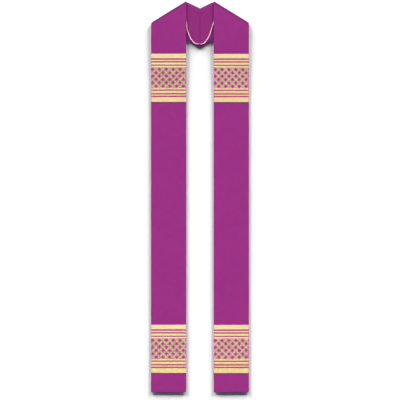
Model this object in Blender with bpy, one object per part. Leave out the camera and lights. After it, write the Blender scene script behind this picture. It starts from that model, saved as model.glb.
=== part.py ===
"""A clerical stole, laid flat on a surface, in metres with +Z up.

Each half is one long strip. It runs up the front, folds over at the shoulder along a slanted
line and goes on underneath to the centre-back seam, where its lining side faces up.
+Y points to the neck. The origin is on the surface, at the middle of the stole's outline.
"""

from math import cos, pi, radians, sin, tan

import bmesh
import bpy
from mathutils import Vector

MM = 0.001

# Outline of the stole as it lies
LENGTH = 1311.8 * MM                # hem to the highest point of the shoulder fold
PANEL_WIDTH = 118.4 * MM            # finished width of each strip
NECK_GAP = 92.0 * MM                # between the inner edges of the two fronts
SHOULDER_ANGLE = radians(31.5)      # the fold line rises this much towards the neck

# Behind the neck each strip is shaped: its lower edge is cut in, its upper edge a little out
NECK_SHARE = 0.72                   # of the way from the fold to the seam: the narrowest place
NECK_NARROWING = 5.3 * MM           # of the lower edge there
SEAM_NARROWING = 2.6 * MM           # of the lower edge at the seam
SEAM_RISE = 1.6 * MM                # of the upper edge at the seam

# Cloth
LINING_THICKNESS = 1.0 * MM
FACE_THICKNESS = 1.4 * MM           # face fabric with its interlining
BAND_THICKNESS = 1.0 * MM
GAP = 0.3 * MM                      # between two pieces that touch
TURNED_EDGE = 2.7 * MM              # width of the face's turned-in edge, two layers thick

# Shoulder fold, and the slope where each front comes down off the back of the neck
FOLD_RADIUS = 0.6 * MM              # inside the fold
FOLD_STEPS = 10
SLOPE_START = 4.0 * MM              # clear of the back strip's lower edge
SLOPE_LENGTH = 110.0 * MM           # long, because the interlined cloth is stiff
SLOPE_STEPS = 10

# Ornament bands, all of one height
BAND_HEIGHT = 162.5 * MM
BAND_TOP_BELOW_PEAK = {"upper": 175.2 * MM, "lower": 1084.8 * MM}
RIGHT_BAND_DROP = 0.5 * MM          # the right half's bands are sewn on this much lower
BAND_COLUMNS = 6                    # enough for the band to follow the front's slope
BAND_ROWS = 12

# Neck chain and its clasp
CHAIN_DIAMETER = 2.4 * MM
CHAIN_POINT_SPACING = 6.0 * MM
EYE_RADIUS = 1.75 * MM              # of the ring sewn at the front's inner edge
EYE_WIRE = 0.9 * MM
EYE_BELOW_PEAK = 69.0 * MM
EYE_HEIGHT = 5.2 * MM
CLASP_BELOW_PEAK = 142.2 * MM
HOOK_LEFT_END = -11.0 * MM
HOOK_LENGTH = 16.5 * MM
HOOK_WIDTH = 4.5 * MM
HOOK_WIRE = 1.25 * MM
HOOK_LEFT_HEIGHT = 4.25 * MM
HOOK_RIGHT_HEIGHT = 4.97 * MM       # it lies over the ring's wire
HOOK_TILT = radians(10.0)
CLASP_RING_RADIUS = 1.7 * MM
CLASP_RING_WIRE = 0.95 * MM
CLASP_RING_HEIGHT = 5.0 * MM
CLASP_RING_TILT = radians(-60.0)    # the ring stands across the hook, as linked rings do
CLASP_RING_REACH = 0.2 * MM         # of its wire further into the hook
RING_STEPS = 24
HOOK_BEND_STEPS = 10

# Worked out from the sizes above
STRIP_THICKNESS = LINING_THICKNESS + GAP + FACE_THICKNESS
FACE_INSIDE = LINING_THICKNESS + GAP
HALF_WIDTH = PANEL_WIDTH / 2
INNER_HALF_WIDTH = HALF_WIDTH - TURNED_EDGE
FRONT_MIDDLE = NECK_GAP / 2 + HALF_WIDTH            # middle of each front, from the centre line
ROLL_RADIUS = FOLD_RADIUS + STRIP_THICKNESS         # outside the fold
ROLL_AXIS_HEIGHT = STRIP_THICKNESS + FOLD_RADIUS
SHOULDER_LIFT = ROLL_AXIS_HEIGHT + FOLD_RADIUS      # underside of the front at the shoulder
FOLD_TURNS = [pi * step / FOLD_STEPS for step in range(FOLD_STEPS + 1)]
BACK_SHIFT = pi * FOLD_RADIUS - 2 * ROLL_RADIUS     # how far the round fold moves the back strip
HEM_Y = -LENGTH / 2
PEAK_Y = LENGTH / 2

COLOURS = {
    "face": (0.34, 0.035, 0.24),
    "lining": (0.29, 0.028, 0.20),
    "band": (0.80, 0.68, 0.37),
    "chain": (0.75, 0.52, 0.38),
    "clasp": (0.22, 0.19, 0.10),
}


def fold_roll_row(turn):
    """The strip's line that lies at this turn of the round fold: its middle and its slope."""
    beyond = FOLD_RADIUS * turn - ROLL_RADIUS
    return beyond / cos(SHOULDER_ANGLE), tan(SHOULDER_ANGLE)


def roll_rise(turn):
    """Height of the inner edge above the fold line's middle, along Y, at this turn of the fold."""
    middle, slope = fold_roll_row(0.0)
    start = middle + slope * HALF_WIDTH
    sideways = FOLD_RADIUS * turn * tan(SHOULDER_ANGLE) * sin(SHOULDER_ANGLE)
    return start + sideways + ROLL_RADIUS * sin(turn) * cos(SHOULDER_ANGLE)


# Distance along the strip's middle from the hem to the fold line
FOLD_FROM_HEM = LENGTH - max(roll_rise(turn) for turn in FOLD_TURNS)


def below_back_strip(across, past_fold):
    """How far a point of the front lies below the lower edge of the back strip."""
    double = 2 * SHOULDER_ANGLE
    edge = BACK_SHIFT * sin(SHOULDER_ANGLE) - HALF_WIDTH
    return edge - across * cos(double) - past_fold * sin(double)


def front_lift(across, past_fold):
    """Height of the front's underside: raised on the back strip, then down a smooth slope."""
    share = (below_back_strip(across, past_fold) - SLOPE_START) / SLOPE_LENGTH
    share = min(max(share, 0.0), 1.0)
    return SHOULDER_LIFT * (1 - share * share * (3 - 2 * share))


def strip_point(side, across, along, out):
    """Where a point of the flat strip lies.

    side is -1 for the left half and 1 for the right. across is measured from the strip's
    middle towards the neck, along from the hem, and out from the lining's free surface.
    """
    past_fold = along - FOLD_FROM_HEM
    beyond = past_fold * cos(SHOULDER_ANGLE) - across * sin(SHOULDER_ANGLE)
    on_line = past_fold * sin(SHOULDER_ANGLE) + across * cos(SHOULDER_ANGLE)
    turn = (beyond + ROLL_RADIUS) / FOLD_RADIUS
    if turn <= 0:
        height = front_lift(across, past_fold) + out
    elif turn < pi:
        beyond = (FOLD_RADIUS + out) * sin(turn) - ROLL_RADIUS
        height = ROLL_AXIS_HEIGHT + (FOLD_RADIUS + out) * cos(turn)
    else:
        beyond = BACK_SHIFT - beyond
        height = STRIP_THICKNESS - out
    x = on_line * cos(SHOULDER_ANGLE) - beyond * sin(SHOULDER_ANGLE)
    y = on_line * sin(SHOULDER_ANGLE) + beyond * cos(SHOULDER_ANGLE)
    return Vector((side * (FRONT_MIDDLE - x), HEM_Y + FOLD_FROM_HEM + y, height))


def straight_row(along):
    """A line straight across the strip."""
    return along - FOLD_FROM_HEM, 0.0


def slanted_row(offset):
    """A line across the strip that lies along the back strip's lower edge or the seam."""
    double = 2 * SHOULDER_ANGLE
    return (BACK_SHIFT * sin(SHOULDER_ANGLE) + offset) / sin(double), -1 / tan(double)


LAST_ROLL_ROW = fold_roll_row(pi)
SEAM_ROW = slanted_row(FRONT_MIDDLE - GAP / 2)


def back_row(share):
    """A line across the back strip, this share of the way from the fold to the seam."""
    return tuple(start + (end - start) * share for start, end in zip(LAST_ROLL_ROW, SEAM_ROW))


def neck_shaping(across, middle):
    """How far a point of the back strip is moved towards the neck by the strip's shaping."""
    share = (middle - LAST_ROLL_ROW[0]) / (SEAM_ROW[0] - LAST_ROLL_ROW[0])
    if share <= 0:
        return 0.0
    past_narrowest = max(share - NECK_SHARE, 0.0) / (1 - NECK_SHARE)
    lower = NECK_NARROWING * min(share / NECK_SHARE, 1.0) - (NECK_NARROWING - SEAM_NARROWING) * past_narrowest
    upper = SEAM_RISE * share
    below = min(max((INNER_HALF_WIDTH - across) / (2 * INNER_HALF_WIDTH), 0.0), 1.0)
    return upper + (lower - upper) * below * below * (3 - 2 * below)


def strip_rows(hem_rows):
    """Lines across one strip, from its hem to its mitre at the centre-back seam."""
    rows = [straight_row(along) for along in hem_rows]
    for step in reversed(range(SLOPE_STEPS + 1)):
        below = SLOPE_START + SLOPE_LENGTH * step / SLOPE_STEPS
        rows.append(slanted_row(-HALF_WIDTH - below))
    rows += [fold_roll_row(turn) for turn in FOLD_TURNS]
    rows += [back_row(share) for share in (NECK_SHARE / 2, NECK_SHARE, 1.0)]
    return rows


def material(name, colour, roughness, metallic=0.0):
    made = bpy.data.materials.new(name)
    made.use_nodes = True
    shader = made.node_tree.nodes["Principled BSDF"]
    shader.inputs["Base Color"].default_value = (*colour, 1.0)
    shader.inputs["Roughness"].default_value = roughness
    shader.inputs["Metallic"].default_value = metallic
    return made


def add_object(name, data, look):
    made = bpy.data.objects.new(name, data)
    data.materials.append(look)
    bpy.context.scene.collection.objects.link(made)
    return made


def cell_quads(cells):
    """The outer faces of a set of grid cells, each as four grid corners."""
    turns = [(0, 1, 2), (1, 2, 0), (2, 0, 1)]
    for cell in sorted(cells):
        for axis, second, third in turns:
            for step in (0, 1):
                beside = list(cell)
                beside[axis] += 2 * step - 1
                if tuple(beside) in cells:
                    continue
                corners = []
                for a, b in ((0, 0), (1, 0), (1, 1), (0, 1)):
                    corner = list(cell)
                    corner[axis] += step
                    corner[second] += a
                    corner[third] += b
                    corners.append(tuple(corner))
                yield corners


def cloth_solid(name, side, columns, rows, layers, cells, look):
    """A closed wall of cloth from filled cells between columns, rows and layers of the strip."""
    solid = bmesh.new()
    corners = {}
    for quad in cell_quads(cells):
        for corner in quad:
            if corner in corners:
                continue
            column, row, layer = corner
            middle, slope = rows[row]
            across = columns[column] + neck_shaping(columns[column], middle)
            along = FOLD_FROM_HEM + middle + slope * across
            corners[corner] = solid.verts.new(strip_point(side, across, along, layers[layer]))
        solid.faces.new([corners[corner] for corner in quad])
    bmesh.ops.recalc_face_normals(solid, faces=solid.faces)
    mesh = bpy.data.meshes.new(name)
    solid.to_mesh(mesh)
    solid.free()
    return add_object(name, mesh, look)


def make_face(name, side, look):
    """Face strip: a wall over the lining, with turned-in edges and hem down to its underside."""
    columns = [-HALF_WIDTH, -INNER_HALF_WIDTH, INNER_HALF_WIDTH, HALF_WIDTH]
    rows = strip_rows([0.0, TURNED_EDGE])
    layers = [0.0, FACE_INSIDE, STRIP_THICKNESS]
    cells = set()
    for column in range(len(columns) - 1):
        for row in range(len(rows) - 1):
            cells.add((column, row, 1))
            if column != 1 or row == 0:
                cells.add((column, row, 0))
    return cloth_solid(name, side, columns, rows, layers, cells, look)


def make_lining(name, side, look):
    """Lining strip, set inside the face's turned-in edges."""
    edge = INNER_HALF_WIDTH - GAP
    columns = [-edge, edge]
    rows = strip_rows([TURNED_EDGE + GAP])
    cells = {(0, row, 0) for row in range(len(rows) - 1)}
    return cloth_solid(name, side, columns, rows, [0.0, LINING_THICKNESS], cells, look)


def make_band(name, side, top_below_peak, look):
    """Ornament band laid on the face, across the whole front."""
    low = LENGTH - top_below_peak - BAND_HEIGHT
    columns = [PANEL_WIDTH * step / BAND_COLUMNS - HALF_WIDTH for step in range(BAND_COLUMNS + 1)]
    rows = [straight_row(low + BAND_HEIGHT * step / BAND_ROWS) for step in range(BAND_ROWS + 1)]
    bottom = STRIP_THICKNESS + GAP
    layers = [bottom, bottom + BAND_THICKNESS]
    cells = {(column, row, 0) for column in range(BAND_COLUMNS) for row in range(BAND_ROWS)}
    return cloth_solid(name, side, columns, rows, layers, cells, look)


# Neck chain

CHAIN_REST = STRIP_THICKNESS + GAP + CHAIN_DIAMETER / 2     # height of its middle on the lining

# x from the centre line, distance below the shoulder's peak, height above the resting height
CHAIN_ROUTE = {
    "left": [
        (-44.5, 71.5, 0.8),
        (-44.5, 77.0, 0.3),
        (-44.3, 84.0, 0.0),
        (-43.5, 90.8, 0.0),
        (-41.9, 97.3, 0.0),
        (-39.6, 104.1, 0.0),
        (-36.9, 110.8, 0.0),
        (-33.9, 117.5, 0.0),
        (-30.5, 124.2, 0.0),
        (-26.6, 130.3, 0.0),
        (-22.8, 134.9, 0.0),
        (-18.9, 138.7, 0.0),
        (-15.3, 141.2, 0.0),
        (-11.45, 142.2, 0.05),
    ],
    "right": [
        (44.2, 71.5, 0.8),
        (42.9, 77.2, 0.3),
        (41.0, 83.9, 0.0),
        (39.1, 90.6, 0.0),
        (37.1, 97.3, 0.0),
        (34.9, 104.1, 0.0),
        (32.4, 110.8, 0.0),
        (29.4, 117.5, 0.0),
        (25.9, 124.2, 0.0),
        (21.9, 130.4, 0.0),
        (18.3, 134.6, 0.0),
        (14.7, 138.2, 0.0),
        (11.4, 140.8, 0.35),
        (7.65, 142.1, 0.8),
    ],
}


def chain_points(side_name):
    return [
        Vector((x * MM, PEAK_Y - below * MM, CHAIN_REST + raised * MM))
        for x, below, raised in CHAIN_ROUTE[side_name]
    ]


def smooth_point(before, start, end, after, share):
    """A point on the smooth curve between start and end (Catmull-Rom)."""
    squared = share * share
    cubed = squared * share
    return 0.5 * (
        2 * start
        + (end - before) * share
        + (2 * before - 5 * start + 4 * end - after) * squared
        + (3 * start - before - 3 * end + after) * cubed
    )


def smooth_route(points, spacing):
    """Evenly spaced points on a smooth curve through the route's points."""
    padded = [2 * points[0] - points[1], *points, 2 * points[-1] - points[-2]]
    fine = []
    for start in range(1, len(padded) - 2):
        fine += [smooth_point(*padded[start - 1:start + 3], part / 20) for part in range(20)]
    fine.append(points[-1])
    travelled = [0.0]
    for here, there in zip(fine, fine[1:]):
        travelled.append(travelled[-1] + (there - here).length)
    count = round(travelled[-1] / spacing)
    route = []
    for step in range(count):
        wanted = travelled[-1] * step / count
        nearest = min(range(len(fine)), key=lambda place: abs(travelled[place] - wanted))
        route.append(fine[nearest])
    route.append(fine[-1])
    return route


def make_tube(name, points, diameter, look, closed=False):
    """A round tube along the points: capped at its ends, or closed into a ring."""
    curve = bpy.data.curves.new(name, "CURVE")
    curve.dimensions = "3D"
    curve.bevel_depth = diameter / 2
    curve.bevel_resolution = 2
    curve.use_fill_caps = not closed
    spline = curve.splines.new("POLY")
    spline.points.add(len(points) - 1)
    for knot, place in zip(spline.points, points):
        knot.co = (*place, 1.0)
    spline.use_cyclic_u = closed
    return add_object(name, curve, look)


def make_eye(name, side, look):
    """Ring sewn upright against the front's inner edge, which the chain hangs from."""
    x = side * (NECK_GAP / 2 - GAP - EYE_WIRE / 2)
    points = []
    for step in range(RING_STEPS):
        angle = 2 * pi * step / RING_STEPS
        y = PEAK_Y - EYE_BELOW_PEAK + EYE_RADIUS * sin(angle)
        points.append(Vector((x, y, EYE_HEIGHT + EYE_RADIUS * cos(angle))))
    return make_tube(name, points, EYE_WIRE, look, closed=True)


def clasp_point(x, height, across, tilt):
    """A point of the clasp: across is measured in the plane that the tilt leans."""
    y = PEAK_Y - CLASP_BELOW_PEAK + across * cos(tilt)
    return Vector((x, y, height + across * sin(tilt)))


def make_hook(name, look):
    """Hook: a long closed link with round ends, its right end lying higher."""
    bend = (HOOK_WIDTH - HOOK_WIRE) / 2
    left_wire_x = HOOK_LEFT_END + HOOK_WIRE / 2
    right_wire_x = HOOK_LEFT_END + HOOK_LENGTH - HOOK_WIRE / 2
    points = []
    for centre, start in ((right_wire_x - bend, -pi / 2), (left_wire_x + bend, pi / 2)):
        for step in range(HOOK_BEND_STEPS + 1):
            angle = start + pi * step / HOOK_BEND_STEPS
            x = centre + bend * cos(angle)
            share = (x - left_wire_x) / (right_wire_x - left_wire_x)
            height = HOOK_LEFT_HEIGHT + (HOOK_RIGHT_HEIGHT - HOOK_LEFT_HEIGHT) * share
            points.append(clasp_point(x, height, bend * sin(angle), HOOK_TILT))
    return make_tube(name, points, HOOK_WIRE, look, closed=True)


def make_clasp_ring(name, look):
    """Ring that the hook's right end passes through."""
    hook_wire_x = HOOK_LEFT_END + HOOK_LENGTH - HOOK_WIRE / 2
    left_wire_x = hook_wire_x - (HOOK_WIRE + CLASP_RING_WIRE) / 2 - GAP - CLASP_RING_REACH
    centre = left_wire_x + CLASP_RING_RADIUS
    points = []
    for step in range(RING_STEPS):
        angle = 2 * pi * step / RING_STEPS
        x = centre + CLASP_RING_RADIUS * cos(angle)
        across = CLASP_RING_RADIUS * sin(angle)
        points.append(clasp_point(x, CLASP_RING_HEIGHT, across, CLASP_RING_TILT))
    return make_tube(name, points, CLASP_RING_WIRE, look, closed=True)


def build():
    for old in list(bpy.data.objects):
        bpy.data.objects.remove(old, do_unlink=True)
    for side_name, side in (("left", -1), ("right", 1)):
        face = f"face_{side_name}"
        lining = f"lining_{side_name}"
        eye = f"chain_ring_{side_name}"
        chain = f"neck_chain_{side_name}"
        make_face(face, side, material(face, COLOURS["face"], 0.8))
        make_lining(lining, side, material(lining, COLOURS["lining"], 0.7))
        for level, top_below_peak in BAND_TOP_BELOW_PEAK.items():
            band = f"band_{level}_{side_name}"
            drop = RIGHT_BAND_DROP if side > 0 else 0.0
            make_band(band, side, top_below_peak + drop, material(band, COLOURS["band"], 0.6))
        make_eye(eye, side, material(eye, COLOURS["chain"], 0.3, metallic=1.0))
        route = smooth_route(chain_points(side_name), CHAIN_POINT_SPACING)
        look = material(chain, COLOURS["chain"], 0.3, metallic=1.0)
        make_tube(chain, route, CHAIN_DIAMETER, look)
    make_hook("clasp_hook", material("clasp_hook", COLOURS["clasp"], 0.35, metallic=1.0))
    make_clasp_ring("clasp_ring", material("clasp_ring", COLOURS["clasp"], 0.35, metallic=1.0))


build()
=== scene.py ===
"""Looks of a clerical stole laid flat: purple cloth, cream ornament bands and a neck chain.

Shapes are worked out on the flat strip and then bent over the shoulder fold, as in the CAD
model. A point of a strip is given by across (from its middle towards the neck), along (from
the hem) and out (from the lining's free surface). Lengths are in metres unless a name says mm.
"""

from math import cos, pi, radians, sin, tan

import bpy
import numpy as np
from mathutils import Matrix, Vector


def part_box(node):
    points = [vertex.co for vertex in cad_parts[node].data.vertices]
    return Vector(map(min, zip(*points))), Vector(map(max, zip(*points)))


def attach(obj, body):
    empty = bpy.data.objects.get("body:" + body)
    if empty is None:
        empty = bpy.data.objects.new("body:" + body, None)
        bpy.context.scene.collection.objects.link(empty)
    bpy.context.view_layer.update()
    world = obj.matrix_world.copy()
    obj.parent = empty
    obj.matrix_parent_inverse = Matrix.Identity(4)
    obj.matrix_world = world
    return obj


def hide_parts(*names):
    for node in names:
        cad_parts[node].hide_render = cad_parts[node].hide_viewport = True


MM = 0.001

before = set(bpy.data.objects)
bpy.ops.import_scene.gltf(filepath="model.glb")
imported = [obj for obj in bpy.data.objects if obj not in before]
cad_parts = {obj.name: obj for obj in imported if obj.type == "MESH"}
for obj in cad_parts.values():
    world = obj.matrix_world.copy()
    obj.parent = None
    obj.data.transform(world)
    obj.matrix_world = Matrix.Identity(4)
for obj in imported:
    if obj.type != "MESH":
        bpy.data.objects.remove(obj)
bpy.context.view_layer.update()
FACE_LOW, FACE_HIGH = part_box("face_left")

# The strip, as in the CAD model
HEM_Y = FACE_LOW.y
PEAK_Y = FACE_HIGH.y
LENGTH = PEAK_Y - HEM_Y
PANEL_WIDTH = 118.4 * MM
NECK_GAP = 92 * MM
SHOULDER_ANGLE = radians(31.5)
FOLD_COS, FOLD_SIN = cos(SHOULDER_ANGLE), sin(SHOULDER_ANGLE)
SEAM_COS, SEAM_SIN = cos(2 * SHOULDER_ANGLE), sin(2 * SHOULDER_ANGLE)
LINING_THICKNESS = 1 * MM
FACE_THICKNESS = 1.4 * MM
GAP = 0.3 * MM
TURNED_EDGE = 2.7 * MM
SLOPE_START = 4 * MM
NECK_SHARE = 0.72  # of the way from the fold to the seam: the narrowest place
NECK_NARROWING = 4.6 * MM  # of the strip's lower edge there
SEAM_NARROWING = 1.9 * MM  # of the lower edge at the seam
NECK_RISE = 1 * MM  # of the strip's upper edge, from close by the fold
NECK_RISE_SHARE = 0.12
SEAM_RISE = 2 * MM  # of the upper edge at the seam

# How the cloth differs from those plain forms
FOLD_REACH = 0.8 * MM  # the pressed fold lies this much farther from the hem
FOLD_RADIUS = 0.2 * MM  # the fold is pressed
FOLD_SQUARENESS = 0.3  # 1 rolls its outside in a half circle, less flattens it
FOLD_LIP = 0.25 * MM  # the pressed edge stands this proud of the front
FOLD_LIP_REACH = 3 * MM
SLOPE_LENGTH = 200 * MM
HEM_LIFT = 0.1 * MM  # the hem stands this much higher
HEM_REACH = 120 * MM
CORNER_PULL = 1.5 * MM  # rounds off the shoulder's outer corner
CORNER_REACH = 5.5 * MM

HALF_WIDTH = PANEL_WIDTH / 2
INNER_HALF_WIDTH = HALF_WIDTH - TURNED_EDGE
FACE_INSIDE = LINING_THICKNESS + GAP
STRIP_THICKNESS = FACE_INSIDE + FACE_THICKNESS
FRONT_MIDDLE = NECK_GAP / 2 + HALF_WIDTH
ROLL_RADIUS = FOLD_RADIUS + STRIP_THICKNESS
ROLL_AXIS_HEIGHT = STRIP_THICKNESS + FOLD_RADIUS
SHOULDER_LIFT = ROLL_AXIS_HEIGHT + FOLD_RADIUS
BACK_SHIFT = pi * FOLD_RADIUS - 2 * ROLL_RADIUS
SIDES = {"left": -1, "right": 1}


# -------- the strip's shape


def smooth(share):
    share = np.clip(share, 0.0, 1.0)
    return share * share * (3 - 2 * share)


def unit(vectors):
    """A vector, or one in each row, brought to length 1."""
    return vectors / np.linalg.norm(vectors, axis=-1, keepdims=True)


def stacked(*arrays):
    """Arrays set side by side along a new last axis."""
    return np.stack(np.broadcast_arrays(*arrays), axis=-1)


def full_turn(count):
    """count even angles round a circle."""
    return 2 * pi * np.arange(count) / count


def signed_power(value, power):
    return np.sign(value) * np.abs(value) ** power


def fold_roll_row(turn):
    """The strip's line at this turn of the fold: its middle, past the fold line, and its slope."""
    beyond = FOLD_RADIUS * turn - ROLL_RADIUS
    return beyond / FOLD_COS, tan(SHOULDER_ANGLE)


def roll_rise(turn):
    """Height of the inner edge above the fold line's middle, along Y, at this turn."""
    middle, slope = fold_roll_row(0.0)
    start = middle + slope * HALF_WIDTH
    sideways = FOLD_RADIUS * turn * tan(SHOULDER_ANGLE) * FOLD_SIN
    return start + sideways + ROLL_RADIUS * sin(turn) * FOLD_COS


FOLD_FROM_HEM = LENGTH + FOLD_REACH - max(roll_rise(pi * step / 40) for step in range(41))


def straight_row(along):
    """A line straight across the strip."""
    return along - FOLD_FROM_HEM, 0.0


def slanted_row(offset):
    """A line across the strip along the back strip's lower edge or the centre-back seam."""
    return (BACK_SHIFT * FOLD_SIN + offset) / SEAM_SIN, -1 / tan(2 * SHOULDER_ANGLE)


LAST_ROLL_ROW = fold_roll_row(pi)
SEAM_ROW = slanted_row(FRONT_MIDDLE - GAP / 2)


def back_row(share):
    """A line across the back strip, this share of the way from the fold to the seam."""
    return tuple(start + (end - start) * share for start, end in zip(LAST_ROLL_ROW, SEAM_ROW))


def shaped(across, middle):
    """across, moved towards the neck by the shaping of the back strip."""
    share = np.maximum((middle - LAST_ROLL_ROW[0]) / (SEAM_ROW[0] - LAST_ROLL_ROW[0]), 0.0)
    past_narrowest = np.maximum(share - NECK_SHARE, 0.0) / (1 - NECK_SHARE)
    lower = NECK_NARROWING * np.minimum(share / NECK_SHARE, 1.0)
    lower = lower - (NECK_NARROWING - SEAM_NARROWING) * past_narrowest
    upper = NECK_RISE * smooth(share / NECK_RISE_SHARE) + (SEAM_RISE - NECK_RISE) * share
    return across + upper + (lower - upper) * smooth((INNER_HALF_WIDTH - across) / (2 * INNER_HALF_WIDTH))


def front_lift(across, along):
    """Height of the front's underside: on the back strip, down a slope, up again at the hem."""
    edge = BACK_SHIFT * FOLD_SIN - HALF_WIDTH
    below = edge - across * SEAM_COS - (along - FOLD_FROM_HEM) * SEAM_SIN
    down = smooth((below - SLOPE_START) / SLOPE_LENGTH)
    return SHOULDER_LIFT * (1 - down) + HEM_LIFT * smooth(1 - along / HEM_REACH)


def beyond_fold(across, along):
    """Distance past the shoulder's fold line, square to it."""
    return (along - FOLD_FROM_HEM) * FOLD_COS - across * FOLD_SIN


def strip_points(side, across, along, out):
    """World points for arrays of across, along and out."""
    beyond = beyond_fold(across, along)
    on_line = (along - FOLD_FROM_HEM) * FOLD_SIN + across * FOLD_COS
    turn = (beyond + ROLL_RADIUS) / FOLD_RADIUS
    front = turn <= 0
    rolled = (turn > 0) & (turn < pi)
    outside = out > FACE_INSIDE
    raised = np.where(rolled, (1 + np.cos(turn)) / 2, front)
    lip = FOLD_LIP * raised * outside * np.exp(np.minimum(turn, 0) * FOLD_RADIUS / FOLD_LIP_REACH)
    power = 1 - (1 - FOLD_SQUARENESS) * np.clip(out / STRIP_THICKNESS, 0.0, 1.0)
    radius = FOLD_RADIUS + out
    reach = np.where(rolled, radius * signed_power(np.sin(turn), power) - ROLL_RADIUS, BACK_SHIFT - beyond)
    reach = np.where(front, beyond, reach)
    rolled_height = ROLL_AXIS_HEIGHT + radius * signed_power(np.cos(turn), power)
    height = np.where(rolled, rolled_height, STRIP_THICKNESS - out)
    height = np.where(front, front_lift(across, along) + out, height) + lip
    x = on_line * FOLD_COS - reach * FOLD_SIN
    y = on_line * FOLD_SIN + reach * FOLD_COS
    from_corner = np.hypot(x + HALF_WIDTH, y + HALF_WIDTH * tan(SHOULDER_ANGLE)) / CORNER_REACH
    pull = CORNER_PULL * np.exp(-from_corner * from_corner)
    x = x + pull * FOLD_COS
    y = y - pull * FOLD_SIN
    return stacked(side * (FRONT_MIDDLE - x), HEM_Y + FOLD_FROM_HEM + y, height)


def on_front(across, along):
    """1 on the front of the strip, 0 past the shoulder fold."""
    return np.clip(-beyond_fold(across, along) / (12 * MM), 0.0, 1.0)


# Soft unevenness of the laid cloth: height, length of one wave across and along, phase
WAVES = [
    (0.16 * MM, 310 * MM, 205 * MM, 0.4),
    (0.11 * MM, 150 * MM, 97 * MM, 2.1),
    (0.05 * MM, 71 * MM, -43 * MM, 4.4),
]
PUCKER_HEIGHT = 0.1 * MM  # along the sewn edges
PUCKER_LENGTH = 13 * MM
PUCKER_REACH = 7 * MM
SEAM_PUCKER_HEIGHT = 0.1 * MM  # along the centre-back seam
SEAM_PUCKER_LENGTH = 10 * MM
SEAM_PUCKER_REACH = 9 * MM


def distance_to_seam(across, along):
    return (SEAM_ROW[0] + SEAM_ROW[1] * across + FOLD_FROM_HEM - along) * SEAM_SIN


def ripple(angle):
    """A wave between 0 and 1."""
    return 0.5 + 0.5 * np.sin(angle)


def softness(side, across, along):
    """How far the cloth's surface stands above its flat form."""
    height = np.zeros(np.broadcast(across, along).shape)
    for depth, wide, tall, phase in WAVES:
        angle = 2 * pi * (across / wide + along / tall) + phase * (2 + side)
        height = height + depth * ripple(angle)
    to_edge = HALF_WIDTH - np.abs(across)
    wander = 1.3 * np.sin(along / (31 * MM) + side) + 0.8 * np.sin(along / (17 * MM))
    pucker = ripple(2 * pi * along / PUCKER_LENGTH + wander + np.sign(across) * 1.7)
    height = height + PUCKER_HEIGHT * pucker * np.exp(-to_edge / PUCKER_REACH)
    down_seam = across * SEAM_SIN - (along - FOLD_FROM_HEM) * SEAM_COS
    wander = 1.1 * np.sin(down_seam / (15 * MM) + 2 * side)
    pucker = ripple(2 * pi * down_seam / SEAM_PUCKER_LENGTH + wander)
    from_seam = np.maximum(distance_to_seam(across, along), 0.0)
    return height + SEAM_PUCKER_HEIGHT * pucker * np.exp(-from_seam / SEAM_PUCKER_REACH)


def inside(half_width, low, high, across, along):
    """Distance from a point of the strip in to the nearest edge of a straight piece."""
    return np.minimum(half_width - np.abs(across), np.minimum(along - low, high - along))


def rounded(distance, radius):
    """0 at the edge, rising along a quarter circle to 1 at one radius from it."""
    share = np.clip(distance / radius, 0.0, 1.0)
    return np.sqrt(1 - (1 - share) ** 2)


# -------- mesh helpers


def add_object(name, data):
    made = bpy.data.objects.new(name, data)
    bpy.context.scene.collection.objects.link(made)
    return made


def add_mesh(name, points, faces, look, strip_uv):
    """A smooth mesh object. strip_uv holds a (u, v) in metres for each point."""
    mesh = bpy.data.meshes.new(name)
    mesh.from_pydata(np.asarray(points).tolist(), [], np.asarray(faces).tolist())
    mesh.shade_smooth()
    corner = np.empty(len(mesh.loops), dtype=np.int32)
    mesh.loops.foreach_get("vertex_index", corner)
    layer = mesh.uv_layers.new(name="strip")
    layer.uv.foreach_set("vector", np.asarray(strip_uv, dtype=np.float32)[corner].ravel())
    mesh.materials.append(look)
    return add_object(name, mesh)


def joined(parts):
    """One set of points, faces and strip coordinates from several."""
    points, faces, flats, first = [], [], [], 0
    for part_points, part_faces, part_flats in parts:
        points.append(part_points)
        faces.append(part_faces + first)
        flats.append(part_flats)
        first += len(part_points)
    return np.concatenate(points), np.concatenate(faces), np.concatenate(flats)


def add_parts(name, parts, look):
    points, faces, flats = joined(parts)
    return add_mesh(name, points, faces, look, flats)


def grid_faces(rows, columns):
    """Quads of a grid of points stored row by row."""
    row, column = np.meshgrid(np.arange(rows - 1), np.arange(columns - 1), indexing="ij")
    corner = row * columns + column
    quads = np.stack([corner, corner + 1, corner + columns + 1, corner + columns], axis=-1)
    return quads.reshape(-1, 4)


def facing(side, faces):
    """The left and the right half are mirror images, so one of them has its faces turned."""
    return faces[:, ::-1] if side > 0 else faces


def sheet_part(side, rows, columns, place, points_at):
    """A closed cloth wall over a grid of the strip.

    rows are (middle, slope) lines and columns are across values before the shaping. place(across,
    along, column) gives the heights of the upper and the lower face, which share their edge.
    """
    middle = np.array([row[0] for row in rows])[:, None]
    slope = np.array([row[1] for row in rows])[:, None]
    across = shaped(np.array(columns)[None, :], middle)
    along = FOLD_FROM_HEM + middle + slope * across
    heights = place(across, along, np.broadcast_to(np.array(columns)[None, :], across.shape))
    upper, lower = (points_at(side, across, along, height) for height in heights)
    quads = grid_faces(len(rows), len(columns))
    inner = np.zeros(across.shape, dtype=bool)
    inner[1:-1, 1:-1] = True
    lower_index = np.arange(across.size).reshape(across.shape).copy()
    lower_index[inner] = across.size + np.arange(inner.sum())
    points = np.concatenate([upper.reshape(-1, 3), lower[inner]])
    flat = stacked(across, along)
    strip_uv = np.concatenate([flat.reshape(-1, 2), flat[inner]])
    faces = np.concatenate([quads, lower_index.ravel()[quads][:, ::-1]])
    return points, facing(side, faces), strip_uv


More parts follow.
